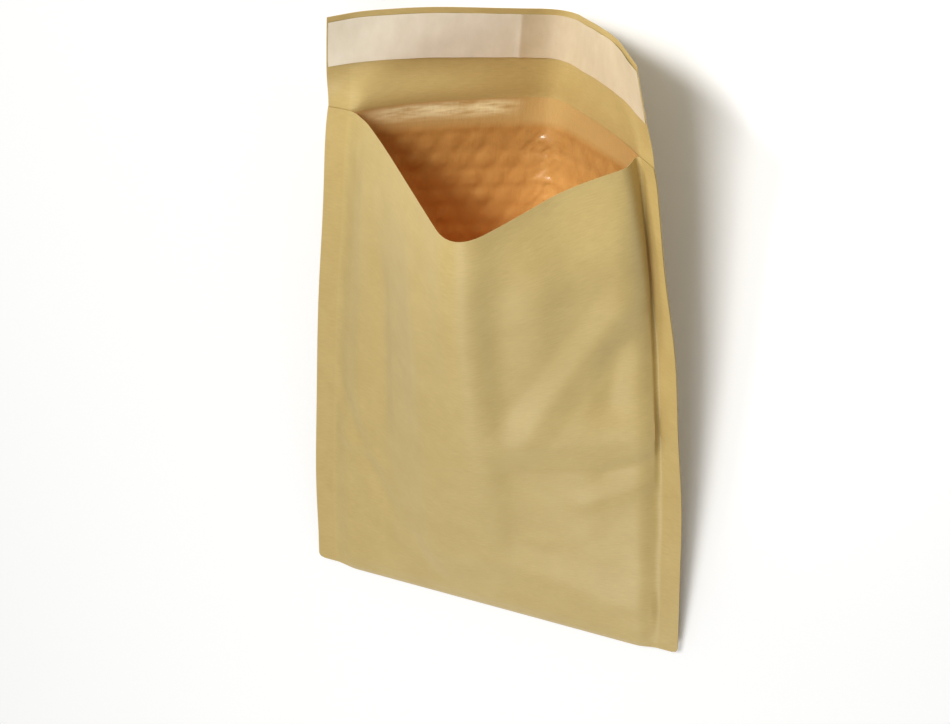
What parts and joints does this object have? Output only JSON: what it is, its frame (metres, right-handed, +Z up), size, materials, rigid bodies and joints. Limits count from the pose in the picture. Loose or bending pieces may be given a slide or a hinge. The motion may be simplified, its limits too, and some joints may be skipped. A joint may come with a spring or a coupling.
{
  "type": "padded envelope",
  "caption": "Open kraft paper padded envelope with a bubble lining and a peel-and-seal closing flap, lying on its back.",
  "frame": {"origin": "centre of the bounding box in X and Y, on the surface that the envelope lies on", "axes": "+X across the envelope, +Y from the bottom fold to the closing flap, +Z up"},
  "size_m": [0.2, 0.3214, 0.1138],
  "materials": {
    "kraft_paper": "matt unbleached kraft",
    "bubble_film": "clear glossy polyethylene film over kraft",
    "hot_melt_adhesive": "tacky pale yellow",
    "release_paper": "smooth silicone-coated off-white"
  },
  "bodies": {
    "root": {"kraft_cover": "kraft_paper", "bubble_lining": "bubble_film", "adhesive_strip": "hot_melt_adhesive", "release_liner": "release_paper"}
  },
  "joints": []
}
